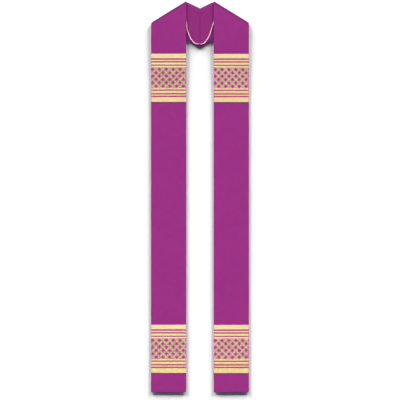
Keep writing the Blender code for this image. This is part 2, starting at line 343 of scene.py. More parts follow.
def rows_between(start, end, spacing, ease=0):
    """Rows from start up to end, not counting start. ease 1 packs them at the end, -1 at the start."""
    span = abs(end[0] - start[0]) + abs(end[1] - start[1]) * HALF_WIDTH
    count = max(1, round(span / spacing))
    rows = []
    for step in range(1, count + 1):
        share = step / count
        if ease > 0:
            share = sin(pi / 2 * share)
        if ease < 0:
            share = 1 - cos(pi / 2 * share)
        rows.append(tuple(a + (b - a) * share for a, b in zip(start, end)))
    return rows


def strip_rows(hem_distances, seam_distances, spacing):
    """Lines across a strip from its hem to the centre-back seam, close together at the fold."""
    rows = [straight_row(along) for along in hem_distances]
    slope_low = slanted_row(-HALF_WIDTH - SLOPE_START - SLOPE_LENGTH)
    slope_high = slanted_row(-HALF_WIDTH - SLOPE_START)
    roll = [fold_roll_row(pi * step / 16) for step in range(17)]
    seam = [slanted_row(FRONT_MIDDLE - GAP / 2 - distance) for distance in reversed(seam_distances)]
    foot = FOLD_FROM_HEM + slope_low[0] - abs(slope_low[1]) * HALF_WIDTH - 10 * MM
    rows += rows_between(rows[-1], straight_row(foot), spacing)
    rows += rows_between(rows[-1], slope_low, spacing)
    rows += rows_between(rows[-1], slope_high, spacing)
    rows += rows_between(rows[-1], roll[0], spacing, ease=1)
    rows += roll[1:]
    rows += rows_between(rows[-1], seam[0], spacing, ease=-1)
    return rows + seam[1:]


def edge_columns(half_width, edge_distances, spacing):
    """across values: close together at both edges, then even."""
    inner = half_width - edge_distances[-1]
    count = round(2 * inner / spacing)
    middle = [2 * inner * step / count - inner for step in range(1, count)]
    left = [distance - half_width for distance in edge_distances]
    return left + middle + [-value for value in reversed(left)]


TIP_BULGE = 0.3  # of a tube's end, in radii


def travelled(points):
    """Distance from the first point along a line to each of its points."""
    return np.concatenate([[0.0], np.cumsum(np.linalg.norm(np.diff(points, axis=0), axis=1))])


def tube_part(centres, radii, around=8, closed=False, up=(0, 0, 1)):
    """A round tube along the centres, capped at its ends or closed into a ring."""
    centres = np.asarray(centres, dtype=float)
    count = len(centres)
    radii = np.broadcast_to(np.asarray(radii, dtype=float), (count,))
    if closed:
        along = np.roll(centres, -1, axis=0) - np.roll(centres, 1, axis=0)
    else:
        along = np.gradient(centres, axis=0)
    along = unit(along)
    beside = unit(np.cross(along, np.asarray(up, dtype=float)))
    above = np.cross(beside, along)
    angle = full_turn(around)
    turned = angle[None, :, None]
    ring = np.cos(turned) * beside[:, None, :] + np.sin(turned) * above[:, None, :]
    points = (centres[:, None, :] + ring * radii[:, None, None]).reshape(-1, 3)
    reached = travelled(centres)
    flats = stacked(*np.meshgrid(angle * radii.max(), reached)).reshape(-1, 2)
    step = np.arange(count if closed else count - 1)[:, None]
    here, there = step * around, (step + 1) % count * around
    spot = np.arange(around)
    after = (spot + 1) % around
    faces = stacked(here + spot, here + after, there + after, there + spot).reshape(-1, 4)
    if not closed:
        start = centres[0] - along[0] * radii[0] * TIP_BULGE
        tips = np.array([start, centres[-1] + along[-1] * radii[-1] * TIP_BULGE])
        tip = len(points)
        points = np.concatenate([points, tips])
        flats = np.concatenate([flats, [[0, 0], [0, reached[-1]]]])
        last = (count - 1) * around
        for spot in range(0, around, 2):
            a, b, c = spot, (spot + 1) % around, (spot + 2) % around
            caps = [[c, b, a, tip], [last + a, last + b, last + c, tip + 1]]
            faces = np.concatenate([faces, caps])
    return points, faces, flats


# -------- materials


class Nodes:
    """Short calls for building a material's nodes."""

    def __init__(self, name):
        self.material = bpy.data.materials.new(name)
        self.material.use_nodes = True
        self.tree = self.material.node_tree
        self.shader = self.tree.nodes["Principled BSDF"]

    def node(self, kind, inputs=None, **settings):
        made = self.tree.nodes.new(kind)
        for key, value in settings.items():
            setattr(made, key, value)
        for key, value in (inputs or {}).items():
            self.link(value, made.inputs[key])
        return made

    def link(self, value, socket):
        if isinstance(value, bpy.types.NodeSocket):
            self.tree.links.new(value, socket)
        elif isinstance(value, tuple) and len(value) == 3 and socket.type == "RGBA":
            socket.default_value = (*value, 1.0)
        else:
            socket.default_value = value

    def math(self, operation, first, second=0.0, third=0.0):
        return self.node("ShaderNodeMath", {0: first, 1: second, 2: third}, operation=operation).outputs[0]

    def add(self, first, second):
        return self.math("ADD", first, second)

    def times(self, first, second):
        return self.math("MULTIPLY", first, second)

    def strip(self):
        """The strip's own coordinates, in millimetres: across and along."""
        uv = self.node("ShaderNodeUVMap", uv_map="strip")
        split = self.node("ShaderNodeSeparateXYZ", {0: uv.outputs[0]})
        return [self.times(split.outputs[axis], 1000.0) for axis in (0, 1)]

    def vector(self, x, y, z=0.0):
        return self.node("ShaderNodeCombineXYZ", {0: x, 1: y, 2: z}).outputs[0]

    def noise(self, vector, scale, low=0.0, high=1.0, detail=2.0):
        """Noise from about low to about high."""
        made = self.node("ShaderNodeTexNoise", {"Vector": vector, "Scale": scale, "Detail": detail})
        spread = {"Value": made.outputs["Fac"], "From Min": 0.3, "From Max": 0.7}
        spread.update({"To Min": low, "To Max": high})
        return self.node("ShaderNodeMapRange", spread).outputs[0]

    def mix(self, share, first, second):
        """Colour between first and second."""
        return self.node("ShaderNodeMix", {"Factor": share, 6: first, 7: second}, data_type="RGBA").outputs[2]

    def falloff(self, value, near, far):
        """1 up to near, easing down to 0 at far."""
        inputs = {"Value": value, "From Min": far, "From Max": near}
        return self.node("ShaderNodeMapRange", inputs, interpolation_type="SMOOTHSTEP").outputs[0]

    def painted_shade_lines(self, u, v):
        """Painted shade on the strip's cloth: darker along the shoulder fold, the centre-back seam and the
        edges.
        """
        past_fold = self.math("SUBTRACT", v, FOLD_FROM_HEM / MM)
        sideways = self.times(u, FOLD_SIN)
        beyond = self.math("SUBTRACT", self.times(past_fold, FOLD_COS), sideways)
        from_fold = self.math("ABSOLUTE", self.add(beyond, (ROLL_RADIUS - FOLD_RADIUS) / MM))
        on_seam = self.math("MULTIPLY_ADD", u, SEAM_ROW[1], SEAM_ROW[0] / MM)
        to_seam = self.times(self.math("SUBTRACT", on_seam, past_fold), SEAM_SIN)
        to_edge = self.math("SUBTRACT", HALF_WIDTH / MM, self.math("ABSOLUTE", u))
        fold = self.times(self.falloff(from_fold, 0.7, 3.4), -FOLD_PAINTED_SHADE)
        seam = self.times(self.falloff(to_seam, 0.2, 3.0), -SEAM_PAINTED_SHADE)
        edge = self.times(self.falloff(to_edge, 0.3, 1.6), -EDGE_PAINTED_SHADE)
        return self.add(self.add(fold, seam), edge)

    def colour(self, colour, shade):
        """The base colour, made lighter or darker by shade."""
        bright = self.node("ShaderNodeVectorMath", {0: colour, "Scale": shade}, operation="SCALE")
        self.link(bright.outputs[0], self.shader.inputs["Base Color"])

    def bump(self, height, distance, strength=1.0):
        made = self.node("ShaderNodeBump", {"Distance": distance, "Strength": strength, "Height": height})
        self.link(made.outputs[0], self.shader.inputs["Normal"])

    def plain(self, roughness, metallic=0.0, specular=0.12, sheen=0.0, sheen_tint=(1, 1, 1)):
        inputs = self.shader.inputs
        inputs["Roughness"].default_value = roughness
        inputs["Metallic"].default_value = metallic
        inputs["Specular IOR Level"].default_value = specular
        inputs["Sheen Weight"].default_value = sheen
        inputs["Sheen Roughness"].default_value = 0.5
        inputs["Sheen Tint"].default_value = (*sheen_tint, 1.0)


PURPLE_SHEEN = (0.9, 0.3, 0.8)
# how much darker the cloth is painted along the fold, the seam and the edges: painted shade
FOLD_PAINTED_SHADE = 0.40
SEAM_PAINTED_SHADE = 0.16
EDGE_PAINTED_SHADE = 0.30


def cloth_look(name, warp, weft, pitch, depth, roughness, twill=False, with_painted_shade_lines=False):
    """Woven cloth with slubbed threads, a faint unevenness of dye and painted shade between its threads, and
    where asked painted shade along the fold, seam and edges. pitch is in mm.
    """
    nodes = Nodes(name)
    u, v = nodes.strip()
    second = nodes.add(u, v) if twill else v
    wave_u = nodes.math("SINE", nodes.times(u, pi / pitch))
    wave_v = nodes.math("SINE", nodes.times(second, pi / pitch))
    warp_up = nodes.math("MULTIPLY_ADD", nodes.times(wave_u, wave_v), 0.5, 0.5)
    ridge_u = nodes.math("POWER", nodes.math("ABSOLUTE", wave_u), 0.6)
    ridge_v = nodes.math("POWER", nodes.math("ABSOLUTE", wave_v), 0.6)
    warp_height = nodes.times(ridge_u, warp_up)
    weft_height = nodes.times(ridge_v, nodes.math("SUBTRACT", 1.0, warp_up))
    height = nodes.math("MAXIMUM", warp_height, weft_height)
    on_top = nodes.math("GREATER_THAN", warp_height, weft_height)
    fine_u, fine_v = nodes.math("DIVIDE", u, pitch), nodes.math("DIVIDE", v, pitch)
    long_u, long_v = nodes.math("DIVIDE", u, 28.0), nodes.math("DIVIDE", v, 28.0)
    slub_u = nodes.noise(nodes.vector(fine_u, long_v), 1.0, -0.07, 0.07)
    slub_v = nodes.noise(nodes.vector(long_u, fine_v), 1.0, -0.05, 0.05)
    slub = nodes.add(slub_u, slub_v)
    dye = nodes.noise(nodes.vector(u, v), 0.045, -0.025, 0.025, detail=3.0)
    # the weave's low places are painted darker: painted shade between the threads, on top of the slub and dye
    # tone
    shade = nodes.add(nodes.add(slub, dye), nodes.math("MULTIPLY_ADD", height, 0.35, 0.78))
    # painted shade along the fold, the centre-back seam and the edges
    if with_painted_shade_lines:
        shade = nodes.add(shade, nodes.painted_shade_lines(u, v))
    nodes.colour(nodes.mix(on_top, weft, warp), shade)
    nodes.plain(roughness, specular=0.07, sheen=0.03, sheen_tint=PURPLE_SHEEN)
    nodes.bump(nodes.math("MULTIPLY_ADD", slub, 3.0, height), depth)
    return nodes.material


def thread_look(name, colour, other, twist, patch=0.35):
    """Twisted embroidery thread: u runs across it and v along it. twist is in mm.

    patch is how many patches of the other colour there are to a millimetre.
    """
    nodes = Nodes(name)
    u, v = nodes.strip()
    slant = nodes.times(nodes.add(u, v), 2 * pi / twist)
    ply = nodes.math("MULTIPLY_ADD", nodes.math("SINE", slant), 0.5, 0.5)
    share = nodes.noise(nodes.vector(u, v), patch, -0.9, 1.9, detail=3.0)
    # the twist's grooves are painted darker than its ridges: painted shade
    nodes.colour(nodes.mix(share, colour, other), nodes.math("MULTIPLY_ADD", ply, 0.2, 0.86))
    nodes.plain(0.75, specular=0.1, sheen=0.03, sheen_tint=(1.0, 0.92, 0.75))
    nodes.bump(ply, 0.05 * MM)
    return nodes.material


def metal_look(name, colour, dull, roughness, metallic):
    """Metal with dull patches and fine wear."""
    nodes = Nodes(name)
    place = nodes.node("ShaderNodeTexCoord").outputs["Object"]
    patch = nodes.noise(place, 700.0, detail=3.0)
    nodes.colour(nodes.mix(patch, colour, dull), nodes.noise(place, 1500.0, 0.92, 1.06))
    nodes.plain(roughness, metallic=metallic, specular=0.5)
    worn = nodes.noise(place, 900.0, roughness - 0.06, roughness + 0.1)
    nodes.link(worn, nodes.shader.inputs["Roughness"])
    nodes.bump(nodes.noise(place, 2600.0), 0.02 * MM, 0.4)
    return nodes.material


# -------- face and lining

EDGE_RADIUS = 1.35 * MM
FACE_EDGE = [0.0, 0.1 * MM, 0.35 * MM, 0.8 * MM, EDGE_RADIUS, 1.7 * MM]
RECESS_EDGE = [TURNED_EDGE, TURNED_EDGE + 0.2 * MM]
LINING_EDGE = [0.0, 0.05 * MM, 0.2 * MM, 0.5 * MM]
HEM_EDGE = [0.0, 0.05 * MM, 0.14 * MM, 0.32 * MM, 0.54 * MM, 0.75 * MM]
HEM_SHARPNESS = 2.5
LINING_INSET = TURNED_EDGE + GAP


def edge_distance(columns, along, across, half_width, hem):
    """Distance from a point of the strip to a piece's nearest edge, stretched at its sharp hem."""
    to_seam = distance_to_seam(across, along)
    return np.minimum(np.minimum(half_width - np.abs(columns), HEM_SHARPNESS * (along - hem)), to_seam)


def face_top(side, across, along):
    """out of the face's outer surface."""
    return STRIP_THICKNESS + softness(side, across, along) * on_front(across, along)


def make_face(name, side, look):
    rows = strip_rows(HEM_EDGE + RECESS_EDGE, FACE_EDGE, 4.2 * MM)
    columns = edge_columns(HALF_WIDTH, FACE_EDGE + RECESS_EDGE, 4.2 * MM)

    def place(across, along, column):
        edge = rounded(edge_distance(column, along, across, HALF_WIDTH, 0.0), EDGE_RADIUS)
        middle = STRIP_THICKNESS / 2
        top = middle + (face_top(side, across, along) - middle) * edge
        border = np.minimum(HALF_WIDTH - np.abs(column), along)
        lower = np.where(border > TURNED_EDGE + 0.1 * MM, FACE_INSIDE, middle - middle * edge)
        return top, lower

    return add_parts(name, [sheet_part(side, rows, columns, place, strip_points)], look)


def make_lining(name, side, look):
    half_width = HALF_WIDTH - LINING_INSET
    rows = strip_rows([LINING_INSET + distance for distance in LINING_EDGE], LINING_EDGE, 5.0 * MM)
    columns = edge_columns(half_width, LINING_EDGE, 5.0 * MM)

    def place(across, along, column):
        edge = rounded(edge_distance(column, along, across, half_width, LINING_INSET), LINING_EDGE[-1])
        middle = LINING_THICKNESS / 2
        free = -0.5 * softness(side, across, along) * (1 - on_front(across, along))
        return middle + (LINING_THICKNESS - middle) * edge, middle + (free - middle) * edge

    return add_parts(name, [sheet_part(side, rows, columns, place, strip_points)], look)


# -------- ornament bands

FLAT_HALF = HALF_WIDTH - EDGE_RADIUS
BAND_HALF = FLAT_HALF + EDGE_RADIUS * radians(75)  # the ground goes on round the edges
THREAD_HALF = FLAT_HALF + 0.45 * MM  # the threads stop where the edge turns down
GROUND_BOTTOM = 0.03 * MM
GROUND_TOP = 0.12 * MM
THREAD_BOTTOM = GROUND_TOP + 0.02 * MM

# Stripes from each edge of the band in to the lattice: the ground's bare edge, bars and lines
STRIPE_KINDS = ["edge", "bar", "line", "bar", "line", "bar", "line", "bar"]
UPPER_STRIPES_MM = [0.6, 14.5, 5.6, 3.85, 5.3, 6.5, 4.5, 5.15]
LOWER_STRIPES_MM = [1.1, 15.4, 5.7, 3.45, 5.1, 7.1, 4.7, 4.05]
RIB = 1.32 * MM
RIB_HEIGHT = 0.1 * MM
STRIPE_HEIGHT = {"bar": 0.06 * MM, "line": 0.03 * MM}
STRIPE_EDGE = 0.08 * MM

# Lattice of interlaced strips, each of four cords with diamonds of ground between them
DIAMOND_COLUMN = 22.95 * MM
DIAMOND_ROW = 11.3 * MM
DIAMOND_ROWS = 6
FIRST_DIAMOND = 5.4 * MM  # from the panel's left edge
CORD_OFFSETS = [-3.27 * MM, -1.09 * MM, 1.09 * MM, 3.27 * MM]
CORD_WIDTH = 1.5 * MM
CORD_HEIGHT = 0.16 * MM
CORD_RISE = 0.18 * MM  # of a strip over the one it crosses
CORD_STEP = 1.35 * MM
CORD_PROFILE = [(-0.5, 0.0), (-0.42, 0.62), (-0.16, 0.98), (0.16, 0.98), (0.42, 0.62), (0.5, 0.0)]


def band_points(side, across, along, height):
    """Points at a height above the face, wrapped round the panel's edges."""
    turn = np.maximum(np.abs(across) - FLAT_HALF, 0.0) / EDGE_RADIUS
    reach = EDGE_RADIUS + height
    real = np.sign(across) * (np.minimum(np.abs(across), FLAT_HALF) + reach * np.sin(turn))
    top = face_top(side, np.clip(across, -FLAT_HALF, FLAT_HALF), along)
    return strip_points(side, real, along, top - EDGE_RADIUS + reach * np.cos(turn))


def band_columns(half, spacing):
    return edge_columns(half, [0.0, 0.4 * MM, 0.9 * MM, 1.5 * MM, 2.3 * MM, 3.2 * MM], spacing)


def make_ground(name, side, low, high, look):
    rows = [straight_row(low), straight_row(low + 0.1 * MM)]
    rows += rows_between(rows[-1], straight_row(high - 0.1 * MM), 4.5 * MM)
    rows.append(straight_row(high))

    def place(across, along, column):
        edge = inside(BAND_HALF, low, high, across, along)
        middle = (GROUND_BOTTOM + GROUND_TOP) / 2
        half = (GROUND_TOP - GROUND_BOTTOM) / 2 * rounded(edge, 0.1 * MM)
        return middle + half, middle - half

    part = sheet_part(side, rows, band_columns(BAND_HALF, 4.5 * MM), place, band_points)
    return add_parts(name, [part], look)


def stripe_spans(edge, inward, stripes, wanted):
    """Where each wanted stripe lies along the stole, as (from, to). inward is 1 or -1."""
    reached = 0.0
    for kind, height in zip(STRIPE_KINDS, stripes):
        ends = edge + inward * reached, edge + inward * (reached + height * MM)
        if kind == wanted:
            yield min(ends), max(ends)
        reached += height * MM


def lattice_span(low, high):
    """Where a band's lattice lies along the stole."""
    tables = LOWER_STRIPES_MM, UPPER_STRIPES_MM
    lower, upper = (sum(height * MM for height in stripes) for stripes in tables)
    return low + lower, high - upper


def stripe_part(side, low, high, body_height, random):
    """A stripe of ribs laid across the panel, each a little different."""
    ribs = max(2, round((high - low) / RIB))
    height = (high - low) / ribs
    along, across = np.meshgrid(
        np.linspace(low, high, ribs * 6 + 1), np.array(band_columns(THREAD_HALF, 3.6 * MM)), indexing="ij"
    )
    number = (along - low) / height
    rib = np.minimum(number.astype(int), ribs - 1)
    rows, columns = across.shape
    full = random.uniform(0.8, 1.1, ribs)[rib]
    full = full + random.uniform(-0.1, 0.1, (ribs, columns))[rib, np.arange(columns)[None, :]]
    ridge = np.abs(np.sin(pi * number)) ** 0.7 * full
    edge = inside(THREAD_HALF, low, high, across, along)
    top = THREAD_BOTTOM + (body_height + RIB_HEIGHT * ridge) * rounded(edge, STRIPE_EDGE)
    points = band_points(side, across, along, top).reshape(-1, 3)
    first = np.arange(columns - 1)
    last = (rows - 1) * columns + first
    below = stacked(first, last, last + 1, first + 1)
    faces = np.concatenate([grid_faces(rows, columns), below])
    return points, facing(side, faces), stacked(along.ravel(), across.ravel())


def make_stripes(name, side, spans, kind, look):
    random = np.random.default_rng(7 + side)
    parts = [stripe_part(side, *span, STRIPE_HEIGHT[kind], random) for span in spans]
    return add_parts(name, parts, look)


def across_to(direction):
    step = unit(direction)
    return np.array([-step[1], step[0]])


def lattice_cords(side, low, high):
    """Centre lines of the lattice's cords: points (across, along), rise, sideways and number."""
    bottom, top = lattice_span(low, high)
    toward = 1 if side < 0 else -1
    highest = (bottom + top) / 2 + DIAMOND_ROW * (DIAMOND_ROWS - 1) / 2
    first = np.array([toward * (FIRST_DIAMOND - HALF_WIDTH), highest])
    one = np.array([toward * DIAMOND_COLUMN / 2, DIAMOND_ROW])
    two = np.array([toward * DIAMOND_COLUMN / 2, -DIAMOND_ROW])
    reach = np.arange(-170 * MM, 170 * MM, CORD_STEP)
    for run, cross, level in ((one, two, 0), (two, one, 1)):
        sideways = across_to(run)
        pitch = abs(sideways @ cross)
        other = across_to(cross) * np.sign(across_to(cross) @ run)
        for strip in range(-14, 15):
            for number, offset in enumerate(CORD_OFFSETS):
                origin = first + sideways * ((strip + 0.5) * pitch + offset)
                line = origin + reach[:, None] * unit(run)
                keep = (line[:, 1] > bottom) & (line[:, 1] < top) & (np.abs(line[:, 0]) < THREAD_HALF)
                if keep.sum() < 4:
                    continue
                cell = (line - first) @ other / abs(across_to(cross) @ run)
                wave = np.cos(pi * (cell - 0.5 + strip + level))
                rise = CORD_RISE * (0.5 + 0.5 * np.clip(1.6 * wave, -1, 1))
                yield line[keep], rise[keep], sideways, number


def cord_part(side, line, rise, sideways, width, height, base):
    """A half-round cord lying along a line of the strip."""
    count, around = len(line), len(CORD_PROFILE)
    reached = travelled(line)
    rings, flats = [], []
    for share, up in CORD_PROFILE:
        spot = line + sideways * (share * width)
        rings.append(band_points(side, spot[:, 0], spot[:, 1], base + rise + up * height))
        flats.append(stacked(share * width * 1.6, reached))
    points = np.stack(rings, axis=1).reshape(-1, 3)
    here = np.arange(count - 1) * around
    below = stacked(here, here + around, here + 2 * around - 1, here + around - 1)
    ends = np.array([[0, 1, 4, 5], [1, 2, 3, 4]])
    far_ends = (count - 1) * around + ends[:, ::-1]
    faces = np.concatenate([grid_faces(count, around), below, ends, far_ends])
    return points, facing(side, faces), np.stack(flats, axis=1).reshape(-1, 2)


def make_lattice(name, side, low, high, wanted, look):
    parts = []
    for line, rise, sideways, number in lattice_cords(side, low, high):
        if number in wanted:
            parts.append(cord_part(side, line, rise, sideways, CORD_WIDTH, CORD_HEIGHT, THREAD_BOTTOM))
    return add_parts(name, parts, look)


# -------- neck chain and clasp

CHAIN_DIAMETER = 2.4 * MM
CHAIN_REST = STRIP_THICKNESS + GAP + CHAIN_DIAMETER / 2
EYE_RADIUS = 1.75 * MM
EYE_WIRE = 0.9 * MM
EYE_BELOW_PEAK = 69 * MM
EYE_HEIGHT = 5.2 * MM
CLASP_BELOW_PEAK = 142.2 * MM
HOOK_LEFT_END = -11 * MM
HOOK_LENGTH = 16.5 * MM
HOOK_WIDTH = 4.5 * MM
HOOK_WIRE = 1.25 * MM
HOOK_LEFT_HEIGHT = 4.25 * MM
HOOK_RIGHT_HEIGHT = 4.97 * MM  # it lies over the ring's wire
HOOK_TILT = radians(16.0)
HOOK_FINENESS = 0.8  # of its wire, against the CAD model's
RING_RADIUS = 1.7 * MM
RING_WIRE = 0.95 * MM
RING_HEIGHT = 5 * MM
RING_TILT = radians(-60.0)
RING_REACH = 0.2 * MM
LINK_LENGTH = 3.6 * MM
LINK_WIRE = 0.75 * MM
LINK_PITCH = 2.3 * MM

# x from the centre line, distance below the shoulder's peak, height above the resting height, mm
CHAIN_ROUTE = {
    "left": [
        (-44.5, 71.5, 0.8), (-44.5, 77.0, 0.3), (-44.3, 84.0, 0.0), (-43.5, 90.8, 0.0),
        (-41.9, 97.3, 0.0), (-39.6, 104.1, 0.0), (-36.9, 110.8, 0.0), (-33.9, 117.5, 0.0),
        (-30.5, 124.2, 0.0), (-26.6, 130.3, 0.0), (-22.8, 134.9, 0.0), (-18.9, 138.7, 0.0),
        (-15.3, 141.2, 0.0), (-11.45, 142.2, 0.05),
    ],
    "right": [
        (44.2, 71.5, 0.8), (42.9, 77.2, 0.3), (41.0, 83.9, 0.0), (39.1, 90.6, 0.0),
        (37.1, 97.3, 0.0), (34.9, 104.1, 0.0), (32.4, 110.8, 0.0), (29.4, 117.5, 0.0),
        (25.9, 124.2, 0.0), (21.9, 130.4, 0.0), (18.3, 134.6, 0.0), (14.7, 138.2, 0.0),
        (11.4, 140.8, 0.35), (7.65, 142.1, 0.8),
    ],
}
LAST_LINK_X = {"left": -10.9 * MM, "right": 7.1 * MM}  # it goes round the clasp's wire
LAST_LINK_HEIGHT = {"left": HOOK_LEFT_HEIGHT, "right": RING_HEIGHT}
FIRST_LINK_SHIFT = 0.6 * MM  # it goes round the ring's wire


def smooth_route(points):
    """Many points on a smooth curve through the route's points (Catmull-Rom)."""
    points = np.asarray(points)
    padded = np.concatenate([[2 * points[0] - points[1]], points, [2 * points[-1] - points[-2]]])
    share = np.linspace(0, 1, 20, endpoint=False)[:, None]
    fine = []
    for a, b, c, d in zip(padded, padded[1:], padded[2:], padded[3:]):
        bend = 2 * a - 5 * b + 4 * c - d
        twist = 3 * b - a - 3 * c + d
        fine.append(0.5 * (2 * b + (c - a) * share + bend * share ** 2 + twist * share ** 3))
    return np.concatenate([*fine, points[-1:]])


def evenly(route, count):
    """count points at even distances along a route."""
    reached = travelled(route)
    wanted = np.linspace(0, reached[-1], count)
    return stacked(*(np.interp(wanted, reached, route[:, axis]) for axis in range(3)))


def chain_route(side_name):
    points = [
        (x * MM, PEAK_Y - below * MM, CHAIN_REST + raised * MM)
        for x, below, raised in CHAIN_ROUTE[side_name]
    ]
    points.append((LAST_LINK_X[side_name], PEAK_Y - CLASP_BELOW_PEAK, LAST_LINK_HEIGHT[side_name]))
    return smooth_route(points)


def link_part(centre, along, lean):
    """An oval link. lean is the angle of its plane to the floor."""
    beside = unit(np.cross((0.0, 0.0, 1.0), along))
    above = np.cross(along, beside)
    wide = beside * cos(lean) + above * sin(lean)
    angle = full_turn(18)
    half_length = (LINK_LENGTH - LINK_WIRE) / 2
    half_width = (CHAIN_DIAMETER - LINK_WIRE) / 2
    lengthwise = signed_power(np.cos(angle), 0.85) * half_length
    widthwise = signed_power(np.sin(angle), 0.75) * half_width
    loop = centre + lengthwise[:, None] * along + widthwise[:, None] * wide
    return tube_part(loop, LINK_WIRE / 2, around=8, closed=True, up=np.cross(along, wide))


def make_chain(name, side_name, side, look):
    """Links from the front's ring to the clasp, flat at the ring and then leaning either way."""
    route = chain_route(side_name)
    length = travelled(route)[-1]
    count = round(length / LINK_PITCH)
    count += count % 2
    centres = evenly(route, count)
    centres[:, 0] += side * FIRST_LINK_SHIFT * (1 - smooth(np.arange(count) / 4))
    directions = unit(np.gradient(centres, axis=0))
    parts = []
    for number, (centre, along) in enumerate(zip(centres, directions)):
        lean = pi / 2 * (number % 2) + pi / 4 * smooth((number - 1) / 8)
        parts.append(link_part(centre, along, lean))
    return add_parts(name, parts, look), centres, length


def clasp_points(x, height, across, tilt):
    """Points of the clasp: across is measured in the plane that the tilt leans."""
    y = PEAK_Y - CLASP_BELOW_PEAK + across * cos(tilt)
    return stacked(x, y, height + across * sin(tilt))


def make_hook(name, look):
    """Spring hook: a long loop, thicker along its back, with a sprung gate and thumb stud."""
    bend = (HOOK_WIDTH - HOOK_WIRE) / 2
    left_wire = HOOK_LEFT_END + HOOK_WIRE / 2
    right_wire = HOOK_LEFT_END + HOOK_LENGTH - HOOK_WIRE / 2
    first, last = left_wire + bend, right_wire - bend
    upright = (0, -sin(HOOK_TILT), cos(HOOK_TILT))

    def points_at(x, across):
        share = (x - left_wire) / (right_wire - left_wire)
        height = HOOK_LEFT_HEIGHT + (HOOK_RIGHT_HEIGHT - HOOK_LEFT_HEIGHT) * share
        return clasp_points(x, height, across, HOOK_TILT)

    half_turn = np.linspace(0, pi, 12)
    out, round_end = bend * np.sin(half_turn), bend * np.cos(half_turn)
    straight = np.linspace(first, last, 10)[1:-1]
    flat = np.full(len(straight), bend)
    x = np.concatenate([last + out, straight[::-1], first - out, straight])
    across = np.concatenate([-round_end, flat, round_end, -flat])
    from_middle = np.abs(x - (first + last) / 2) / (HOOK_LENGTH / 2)
    back = smooth((across / bend + 0.2) / 1.2) * smooth(1 - from_middle)
    wire = HOOK_FINENESS * HOOK_WIRE
    radii = wire / 2 * (1 + 0.28 * back)
    parts = [tube_part(points_at(x, across), radii, 12, True, upright)]
    for spot, width in ((-0.32, 0.7), (0.30, 0.7), (0.02, 1.3)):
        middle = (first + last) / 2 + spot * (last - first)
        sleeve = middle + np.array([-0.5, -0.42, -0.2, 0.2, 0.42, 0.5]) * width * MM
        thick = wire / 2 * np.array([1.02, 1.2, 1.27, 1.27, 1.2, 1.02])
        parts.append(tube_part(points_at(sleeve, -bend), thick, 12, False, upright))
    stud = np.linspace(0, 1, 6)
    stud_points = points_at(np.full(6, (first + last) / 2 + 0.3 * MM), -bend - stud * 1.3 * MM)
    parts.append(tube_part(stud_points, 0.5 * MM * np.sqrt(1.02 - stud ** 2), 10, False, (1, 0, 0)))
    return add_parts(name, parts, look)


def make_clasp_ring(name, look):
    """Jump ring that the hook's right end passes through."""
    hook_wire = HOOK_LEFT_END + HOOK_LENGTH - HOOK_WIRE / 2
    left_wire = hook_wire - (HOOK_WIRE + RING_WIRE) / 2 - GAP - RING_REACH
    angle = full_turn(36)
    x = left_wire + RING_RADIUS + RING_RADIUS * np.cos(angle)
    points = clasp_points(x, RING_HEIGHT, RING_RADIUS * np.sin(angle), RING_TILT)
    upright = (0, -sin(RING_TILT), cos(RING_TILT))
    return add_parts(name, [tube_part(points, RING_WIRE / 2, 12, True, upright)], look)


def eye_points(side, turns, radius):
    """Points round the ring that stands against the front's inner edge."""
    x = side * (NECK_GAP / 2 - GAP - EYE_WIRE / 2)
    y = PEAK_Y - EYE_BELOW_PEAK + radius * np.sin(turns)
    return stacked(x, y, EYE_HEIGHT + radius * np.cos(turns))


def make_eye(name, side, look):
    ring = eye_points(side, full_turn(30), EYE_RADIUS)
    return add_parts(name, [tube_part(ring, EYE_WIRE / 2, 10, True, (1, 0, 0))], look)


def make_eye_stitches(name, side, look):
    """Threads that go round the ring's wire and into the front's edge."""
    centre = eye_points(side, np.array([0.0]), 0.0)[0]
    parts = []
    for lean in (-0.5, -0.17, 0.17, 0.5):
        angle = np.linspace(-0.62 * pi, 0.62 * pi, 14)
        outward = np.array([0.0, sin(lean), cos(lean)])
        sideways = np.array([-side, 0.0, 0.0])
        turned = np.cos(angle)[:, None] * sideways + np.sin(angle)[:, None] * outward
        loop = centre + outward * EYE_RADIUS + (EYE_WIRE / 2 + 0.16 * MM) * turned
        ends = loop[[0, -1]] + np.array([side * 0.8 * MM, 0.0, 0.0])
        loop = np.concatenate([ends[:1], loop, ends[1:]])
        parts.append(tube_part(loop, 0.14 * MM, 6, False, np.cross(outward, (1.0, 0.0, 0.0))))
    return add_parts(name, parts, look)


# -------- stitches

STITCH_WIDTH = 0.34 * MM
STITCH_HEIGHT = 0.16 * MM


def make_band_stitches(name, side, low, high, look):
    """Running stitches that hold the band, just inside its two edges."""
    random = np.random.default_rng(31 + side)
    base = THREAD_BOTTOM + STRIPE_HEIGHT["bar"] + RIB_HEIGHT
    parts = []
    for along in (low + 1.3 * MM, high - 1.3 * MM):
        spot = -FLAT_HALF + 1.5 * MM
        while spot < FLAT_HALF - 3.5 * MM:
            length = random.uniform(2.3, 2.8) * MM
            share = np.linspace(0, 1, 5)
            line = stacked(spot + share * length, along + random.uniform(-0.1, 0.1) * MM)
            dip = STITCH_HEIGHT * (np.sin(pi * share) ** 0.5 - 1)
            parts.append(cord_part(side, line, dip, np.array([0.0, 1.0]), STITCH_WIDTH, STITCH_HEIGHT, base))
            spot += length + random.uniform(0.8, 1.2) * MM
    return add_parts(name, parts, look)


